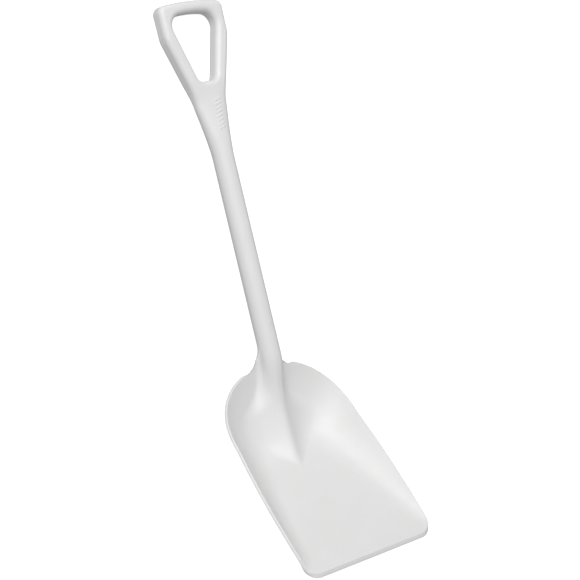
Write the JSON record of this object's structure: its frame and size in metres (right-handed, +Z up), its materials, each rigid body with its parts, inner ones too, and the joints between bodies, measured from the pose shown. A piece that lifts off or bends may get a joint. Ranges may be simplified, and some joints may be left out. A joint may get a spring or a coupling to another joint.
{
  "type": "scoop shovel",
  "caption": "Moulded plastic scoop shovel: dished square-mouthed pan with a centre ridge, straight hollow shaft and closed triangular D-grip.",
  "frame": {"origin": "bottom centre of the box round the whole shovel as it lies on its back", "axes": "+X across the pan, +Y along the handle from the blade to the grip, +Z up"},
  "size_m": [0.2786, 0.9732, 0.1879],
  "materials": {
    "blade_plastic": "white polypropylene, satin moulded surface",
    "handle_plastic": "white polypropylene, satin moulded surface",
    "grip_plastic": "white polypropylene, satin moulded surface, low raised ribs",
    "sleeve_plastic": "natural white polypropylene, as moulded"
  },
  "bodies": {
    "root": {"scoop_blade": "blade_plastic", "shaft": "handle_plastic", "d_grip": "grip_plastic", "neck_spigot": "sleeve_plastic", "throat_spigot": "sleeve_plastic"}
  },
  "joints": []
}
